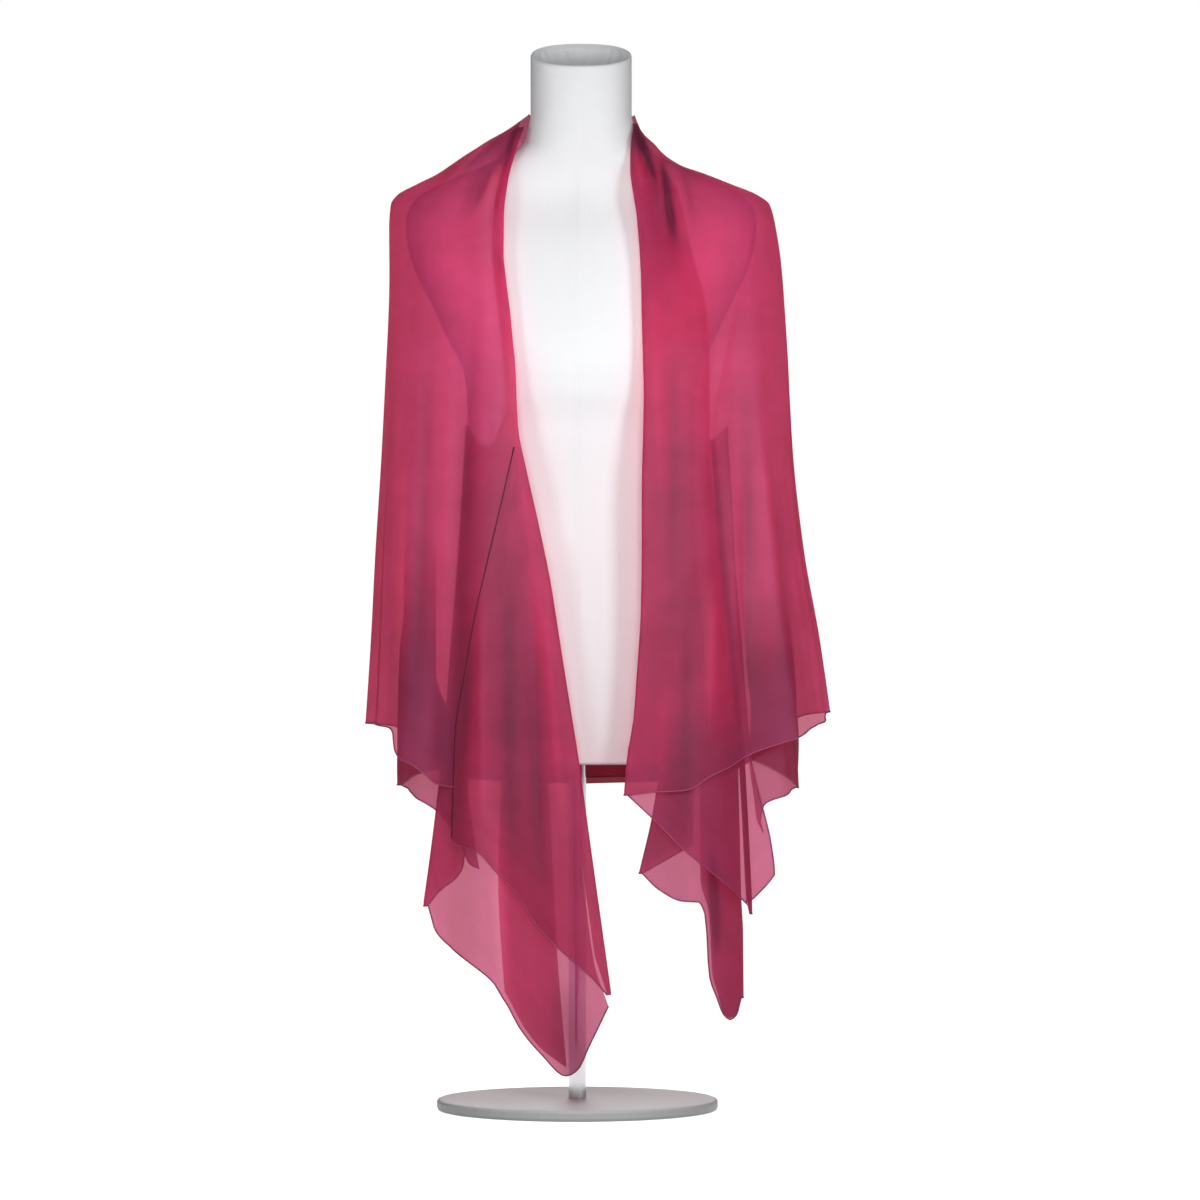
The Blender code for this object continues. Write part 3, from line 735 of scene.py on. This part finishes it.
CHIFFON = chiffon("chiffon_sheer", THREADS, THREADS_LIT, SHEER, SHEEN, GLOW, paint_fold_shade=True)
FADING = chiffon("chiffon_sheer_top", THREADS, THREADS_LIT, SHEER, SHEEN, GLOW, paint_fold_shade=True,
                 fading=True)
HEM = chiffon("chiffon_rolled", HEM_THREADS, HEM_THREADS, HEM_SHEER, SHEEN, HEM_GLOW)
# nearly black cloth for the gore's seam and for the painted shade along the back's hem
SEAM_AND_SHADE = chiffon("chiffon_seam_and_shade", SEAM_AND_SHADE_THREADS, SEAM_AND_SHADE_THREADS, SEAM_AND_SHADE_SHEER, 0.0, GLOW)


# ---------------------------------------------------------------- the poncho
def hem_of(sheet_name, number, line):
    return roll(f"{sheet_name}_hem_{number}", line, HEM_RADIUS, HEM)


def painted_dark_strip(name, points):
    """A dark strip of painted shade along the low edge of the back, a little inside its cloth."""
    start, end = (int(share * (len(points) - 1)) for share in BACK_HEM_SHARES)
    low = points[start:end + 1, -1]
    up = points[start:end + 1, -BACK_HEM_GUIDE]
    rise = np.linspace(-BACK_HEM_DROP, BACK_HEM_WIDTH, BACK_HEM_ROWS)[None, :, None]
    way = (up - low) / np.linalg.norm(up - low, axis=1)[:, None]
    strip = low[:, None] + rise * way[:, None]
    inward = strip * (1.0, 1.0, 0.0)
    inward /= np.linalg.norm(inward, axis=2)[..., None]
    return shell(name, strip - BACK_HEM_INSIDE * inward, SEAM_AND_SHADE)


def paint(piece, name, values):
    """A colour attribute from one value between 0 and 1 for each point."""
    colours = np.ones((len(values), 4))
    colours[:, :3] = np.clip(values, 0, 1)[:, None]
    layer = piece.data.color_attributes.new(name=name, type="FLOAT_COLOR", domain="POINT")
    layer.data.foreach_set("color", colours.ravel())


def cloth(node_name, points, hems=(), fade=None, also=(),
          extra=(), painted_shade=0.0):
    """One stretch of cloth in place of its solid, with its rolled hems and extra strips: a sewn seam or
    a strip of painted shade.
    Its top thins out between the two heights in fade.  It stands for the solids in also as well.
    The last value is added all over to the folds' attribute: painted shade that darkens the whole
    stretch and closes it a little, or painted light where it is negative."""
    piece = shell(f"{node_name}_cloth", points, FADING if fade else CHIFFON)
    x, y, z = (points[..., axis].ravel() for axis in range(3))
    depth = np.where(y < 0, crease(x, z, FINE_CREASES), crease(x, z, BACK_CREASES))
    gathered = np.where((y < 0) | (z > BANDS_ROUND_ABOVE), crease(x, z, PAINTED_BANDS), 0.0)
    # painted shade in crease valleys and painted bands, painted light on ridges, through this attribute
    paint(piece, "folds", FOLD_NEUTRAL + depth / FOLD_DEPTH + gathered + painted_shade)
    if fade:
        low, high = fade
        share = np.clip((z - low) / (high - low), 0, 1)
        paint(piece, "fade", share * share * (3 - 2 * share))
    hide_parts(node_name, *also)
    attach(piece, "root")
    edges = [hem_of(node_name, number, line) for number, line in enumerate(hems)] + list(extra)
    for edge in edges:
        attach(edge, "root")


back_left, back_right = math.radians(-BACK_SEAM), math.radians(BACK_SEAM)
outer_rows = finer(OUTER_ROWS, OUTER_FINENESS)
gore_rows = finer(GORE_ROWS, GORE_FINENESS)
left_edge = joined(shifted(LEFT_FRONT, -FOLD_STRIP - SEAM), LEFT_SEAM, GORE_TOP)
left_edge = [(z, x + SEAM) for z, x in left_edge]
turned = shifted(LEFT_FRONT, -TURN_UNDER)

left_cape = outer_columns(left_edge, back_left, 96, outer_rows)
back_panel = outer_columns(back_left, back_right - math.tau, 120, outer_rows)
right_cape = outer_columns(shifted(RIGHT_FRONT, FOLD_STRIP), back_right, 112, outer_rows)
cloth("left_cape", left_cape, [left_cape[:, -1], left_cape[:, 0]],
      also=("left_shoulder",))
# the back carries a strip of painted shade along its hem
cloth("back_panel", back_panel, [back_panel[:, -1], back_panel[:, 0]],
      also=("back_shoulders",), extra=[painted_dark_strip("back_panel_turned_hem", back_panel)])
cloth("right_cape", right_cape, [right_cape[:, -1]],
      also=("right_shoulder",))

facing_rows = [z for z in outer_rows[OUTER_FINENESS:] if z > GORE_TOP] + [GORE_TOP]
facing = front_columns([
    run(shifted(LEFT_FRONT, -FOLD_STRIP), LEFT_FRONT, OUTER, None, level(0), 4),
    run(LEFT_FRONT, turned, LEFT_FACING, None, level(0), 6),
], facing_rows)
# painted light all over the facing
cloth("left_facing", facing, painted_shade=-0.25)

gore = front_columns([
    run(LEFT_SEAM, LEFT_FRONT, OUTER, "gore",
        [(0.0, 294), (0.04, 288), (0.14, 285), (0.23, 280), (0.34, 261), (0.47, 237),
         (0.59, 203), (0.71, 182), (0.94, 145), (1.0, 131)], 48),
    run(LEFT_FRONT, turned, LEFT_INNER, "gore", [(0.0, 131), (1.0, 172)], 6),
], gore_rows)
cloth("left_gore", gore, [gore[:49, -1]],
      extra=[roll("left_gore_seam", gore[0], SEAM_RADIUS, SEAM_AND_SHADE)])

body_edge = joined(shifted(turned, -HAIR), LEFT_TIP, LEFT_TIP[0][0])
body = front_columns([
    run(body_edge, LEFT_FOLD, LEFT_INNER, [(0.0, 736), (0.44, 703), (1.0, 727)],
        [(0.0, 119), (0.1, 79), (0.17, 52), (0.23, 46), (0.37, 69), (0.48, 95), (0.56, 126),
         (0.6, 144), (0.68, 159), (0.85, 178), (0.96, 196), (1.0, 222)], 64),
    run(LEFT_FOLD, LEFT_TURN, LEFT_BEHIND, [(0.0, 727), (1.0, 640)],
        [(0.0, 222), (0.2, 236), (0.75, 254), (0.95, 265), (1.0, 282)], 16),
], shares(100))
# painted shade all over the left body
cloth("left_body", body, [body[:, -1], body[:65, 0]], painted_shade=0.15)

pleat = front_columns([
    run(LEFT_PLEAT_IN, LEFT_PLEAT_OUT, LEFT_INSIDE, level(400),
        [(0.0, 134), (0.3, 97), (0.6, 73), (1.0, 54)], 24),
], shares(60))
cloth("left_pleat", pleat, fade=(330, 400))

corner = front_columns([
    run(LEFT_CORNER_IN, LEFT_CORNER, LEFT_CORNER_FRONT, level(640),
        [(0.0, 372), (0.59, 363), (1.0, 348)], 18),
    run(LEFT_CORNER, LEFT_CORNER_IN, LEFT_CORNER_BACK, level(640),
        [(0.0, 348), (0.23, 337), (0.44, 326), (0.74, 288), (0.87, 266), (1.0, 262)], 26),
], shares(60))
# painted shade all over the left corner
cloth("left_corner", corner, [corner[:, -1]], fade=(430, 640), painted_shade=0.45)

right_inside = shifted(RIGHT_SEAM, -FOLD_STRIP)
right_body = front_columns([
    run(shifted(RIGHT_FRONT, FOLD_STRIP), RIGHT_FRONT, OUTER, None, level(340), 4),
    run(RIGHT_FRONT, joined(RIGHT_BAND, shifted(right_inside, -SEAM), 713), RIGHT_INNER,
        None, [(0.0, 340), (0.24, 312), (0.46, 283), (0.67, 260), (0.88, 238), (1.0, 224)], 40),
], outer_rows[BODY_SKIP:])
cloth("right_body", right_body, [right_body[4:, -1]])

right_pleat = front_columns([
    run(right_inside, RIGHT_SEAM, RIGHT_INNER, level(712), [(0.0, 225), (1.0, 214)], 4),
    run(RIGHT_SEAM, RIGHT_PLEAT, RIGHT_MIDDLE, level(712), [(0.0, 214), (1.0, 226)], 4),
    run(RIGHT_PLEAT, RIGHT_OUTER, RIGHT_LAST, [(0.0, 712), (1.0, 727)],
        [(0.0, 226), (0.25, 229), (0.7, 241), (1.0, 254)], 12),
], shares(80))
# painted shade all over the right pleat
cloth("right_pleat", right_pleat, [right_pleat[:, -1], right_pleat[-1]],
      painted_shade=0.2)

tail = front_columns([
    run(RIGHT_UNDER_IN, RIGHT_UNDER, RIGHT_BELOW_BACK, level(440), [(0.0, 288), (1.0, 257)], 14),
    run(RIGHT_UNDER, RIGHT_UNDER_OUT, RIGHT_BELOW, level(440),
        [(0.0, 257), (0.17, 240), (0.4, 228), (0.55, 227), (0.61, 215), (0.65, 150),
         (0.72, 128), (0.8, 108), (0.87, 103), (0.94, 107), (1.0, 125)], 72),
    run(RIGHT_UNDER_OUT, RIGHT_TAIL_IN, RIGHT_BELOW_BACK, level(440),
        [(0.0, 125), (0.23, 109), (0.5, 105), (0.77, 110), (1.0, 128)], 20),
], shares(70))
# painted shade all over the tail
cloth("right_tail", tail, [tail[:, -1]], fade=(370, 440), painted_shade=0.3)

right_corner = front_columns([
    run(RIGHT_CORNER_IN, RIGHT_CORNER, RIGHT_CORNER_FRONT, level(560),
        [(0.0, 376), (0.2, 372), (0.36, 367), (0.6, 357), (1.0, 345)], 18),
    run(RIGHT_CORNER, RIGHT_CORNER_IN, RIGHT_CORNER_BACK, level(560),
        [(0.0, 345), (0.35, 339), (0.8, 329), (0.9, 317), (1.0, 298)], 18),
], shares(60))
# painted shade all over the right corner
cloth("right_corner", right_corner, [right_corner[:, -1]],
      fade=(420, 560), painted_shade=0.45)


# ---------------------------------------------------------------- the dress form
FORM_HALF, FORM_FRONT, FORM_BACK = (curve(FORM, column) for column in (1, 2, 3))
FORM_TOP = FORM[-1][0]  # above this height the neck keeps its width
RIM_RISE = 2.5          # the turned rim's rounding: its height and half its width
RIM_INSET = 2.4
NECK_PINCH = 41         # how far the jersey is drawn together towards the neck's middle


def form_points(z, angle, inset=0.0):
    """The form's surface at heights for angles, drawn in by the inset."""
    sizes = np.minimum(z, FORM_TOP)
    half, front, back = FORM_HALF(sizes), FORM_FRONT(sizes), FORM_BACK(sizes)
    reach = np.where(np.cos(angle) > 0, front, back) - inset
    x = FORM_X + (half - inset) * power(np.sin(angle), 2 / ROUND)
    return x, -reach * power(np.cos(angle), 2 / ROUND)


def rim(y):
    return NECK_TOP + NECK_TILT * y


def form_cover():
    """Torso, neck, turned rim and the gathered jersey inside the neck, as one knit cover."""
    sides = 144
    angle = np.linspace(0, 2 * np.pi, sides, endpoint=False)[:, None]
    neck = np.full_like(angle, FORM_TOP)
    x_top, y_top = form_points(neck, angle)
    rows = []
    low = FORM[0][0]
    for share, drop in ((0.0, 0.0), (0.45, 0.0), (0.8, 0.0), (0.95, 0.4), (1.0, 1.6)):
        x, y = form_points(np.full_like(angle, low), angle)
        share = max(share, 0.001)
        rows.append(np.concatenate([FORM_X + (x - FORM_X) * share, y * share,
                                    np.full_like(x, low + drop)], axis=1))
    for z in np.linspace(low + 4, FORM_TOP, 170):
        x, y = form_points(np.full_like(angle, z), angle)
        rows.append(np.concatenate([x, y, np.full_like(x, z)], axis=1))
    for share in np.linspace(0.1, 1, 10):
        height = FORM_TOP + share * (rim(y_top) - RIM_RISE - FORM_TOP)
        rows.append(np.concatenate([x_top, y_top, height], axis=1))
    for turn in np.linspace(0.25, 1.0, 5) * np.pi:
        inset = RIM_INSET * (1 - np.cos(turn))
        x, y = form_points(neck, angle, inset)
        rows.append(np.concatenate([x, y, rim(y) - RIM_RISE + RIM_RISE * np.sin(turn)], axis=1))
    gather = np.sin(17 * angle + 1.1 * np.sin(5 * angle)) + 0.5 * np.sin(29 * angle + 2.0)
    for share in np.linspace(0.08, 1.0, 14):
        inset = NECK_WALL + 0.3 + share ** 2 * NECK_PINCH
        x, y = form_points(neck, angle, inset)
        deep = (NECK_RECESS - 4) * min(1.0, share * 1.5) ** 1.2
        fold = 1.5 * gather * min(1.0, share * 4) * (1 - 0.6 * share)
        length = np.hypot(x - FORM_X, y)
        x, y = (FORM_X + (x - FORM_X) * (1 - fold / np.maximum(length, 12)),
                y * (1 - fold / np.maximum(length, 12)))
        rows.append(np.concatenate([x, y, rim(y) - deep], axis=1))
    points = np.stack(rows, axis=1)
    columns, count = points.shape[:2]
    u = np.repeat(np.linspace(0, 0.74, columns)[:, None], count, axis=1)
    v = np.repeat(lengths(points, 1)[None, :], columns, axis=0)
    faces = grid_faces(columns, count, round_columns=True)
    faces += [list(range(0, columns * count, count)),
              list(range(count - 1, columns * count, count))[::-1]]
    piece = make_mesh("form_cover", points.reshape(-1, 3), faces,
                      np.stack([u, v], axis=-1).reshape(-1, 2), jersey())
    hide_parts("dress_form", "neck_rim")
    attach(piece, "root")


form_cover()

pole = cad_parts["stand_pole"]
pole.data.materials.clear()
pole.data.materials.append(metal("chrome_tube", (0.62, 0.62, 0.64), 0.16, 1.0, 90.0))
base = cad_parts["stand_base"]
base.data.materials.clear()
base.data.materials.append(metal("base_paint", (0.82, 0.82, 0.82), 0.42, 0.0, 140.0))


# ---------------------------------------------------------------- studio
def floor():
    """A wide pale floor under the stand."""
    turn = np.linspace(0, 2 * np.pi, 65)[:-1]
    rings = [np.stack([radius * np.cos(turn), radius * np.sin(turn), 0 * turn - 0.5], axis=-1)
             for radius in (10.0, 600.0, 3000.0, 60000.0)]
    points = np.stack(rings, axis=1)
    columns, rows = points.shape[:2]
    material, nodes, links = new_material("studio_white")
    grain = node(nodes, "ShaderNodeTexNoise")
    grain.inputs["Scale"].default_value = 3.0
    tone = node(nodes, "ShaderNodeValToRGB")
    tone.color_ramp.elements[0].color = (0.86, 0.86, 0.86, 1)
    tone.color_ramp.elements[1].color = (0.90, 0.90, 0.90, 1)
    links.new(grain.outputs["Fac"], tone.inputs["Fac"])
    face = node(nodes, "ShaderNodeBsdfPrincipled")
    links.new(tone.outputs["Color"], face.inputs["Base Color"])
    face.inputs["Roughness"].default_value = 0.9
    face.inputs["Emission Color"].default_value = (1, 1, 1, 1)
    face.inputs["Emission Strength"].default_value = FLOOR_GLOW
    output = node(nodes, "ShaderNodeOutputMaterial")
    links.new(face.outputs[0], output.inputs["Surface"])
    faces = grid_faces(columns, rows, round_columns=True)
    faces.append(list(range(0, columns * rows, rows))[::-1])
    piece = make_mesh("studio_floor", points.reshape(-1, 3), faces,
                      points.reshape(-1, 3)[:, :2] * MM, material)
    piece.visible_diffuse = False


def lamp(name, place, aim, size, watts, spread=180):
    data = bpy.data.lights.new(name, "AREA")
    data.shape = "RECTANGLE"
    data.size, data.size_y = size
    data.spread = math.radians(spread)
    data.energy = watts
    item = bpy.data.objects.new(name, data)
    bpy.context.scene.collection.objects.link(item)
    item.location = place
    item.rotation_euler = (Vector(aim) - Vector(place)).to_track_quat("-Z", "Y").to_euler()
    item.visible_camera = False


floor()
# Soft boxes at chest height, close in, so that the light falls off towards the hems.
lamp("key_right", (0.85, -1.10, 0.85), (0.0, 0.0, 0.82), (0.32, 0.45), 2.5, spread=SOFT_SPREAD)
lamp("fill_left", (-0.75, -1.10, 0.85), (0.0, 0.0, 0.82), (0.32, 0.45), 1.2, spread=SOFT_SPREAD)
lamp("front_soft", (0.0, -1.35, 0.85), (0.0, 0.0, 0.85), (0.5, 0.6), 4.3, spread=SOFT_SPREAD)
lamp("top_soft", (0.0, 0.1, 2.0), (0.0, 0.0, 0.9), (0.8, 0.8), 2.2)
lamp("back_soft", (0.0, 1.5, 1.05), (0.0, 0.0, 0.85), (0.9, 0.8), 4.2, spread=SOFT_SPREAD)

world = bpy.data.worlds.new("studio_world")
bpy.context.scene.world = world
world.use_nodes = True
sky, sky_links = world.node_tree.nodes, world.node_tree.links
sky.clear()
seen, light = node(sky, "ShaderNodeBackground"), node(sky, "ShaderNodeBackground")
seen.inputs["Strength"].default_value = 1.0
seen.inputs["Color"].default_value = light.inputs["Color"].default_value = (1, 1, 1, 1)
light.inputs["Strength"].default_value = WORLD_LIGHT
path = node(sky, "ShaderNodeLightPath")
both = node(sky, "ShaderNodeMixShader")
sky_out = node(sky, "ShaderNodeOutputWorld")
sky_links.new(path.outputs["Is Camera Ray"], both.inputs["Fac"])
sky_links.new(light.outputs[0], both.inputs[1])
sky_links.new(seen.outputs[0], both.inputs[2])
sky_links.new(both.outputs[0], sky_out.inputs["Surface"])
bpy.context.scene.view_settings.view_transform = "Standard"

camera = bpy.data.cameras.new("photo_camera")
camera.sensor_width = 36.0
camera.lens = CAMERA_LENS
camera.clip_end = 100.0
eye = bpy.data.objects.new("photo_camera", camera)
bpy.context.scene.collection.objects.link(eye)
eye.location = CAMERA_PLACE
eye.rotation_euler = (math.pi / 2, 0.0, 0.0)
bpy.context.scene.camera = eye
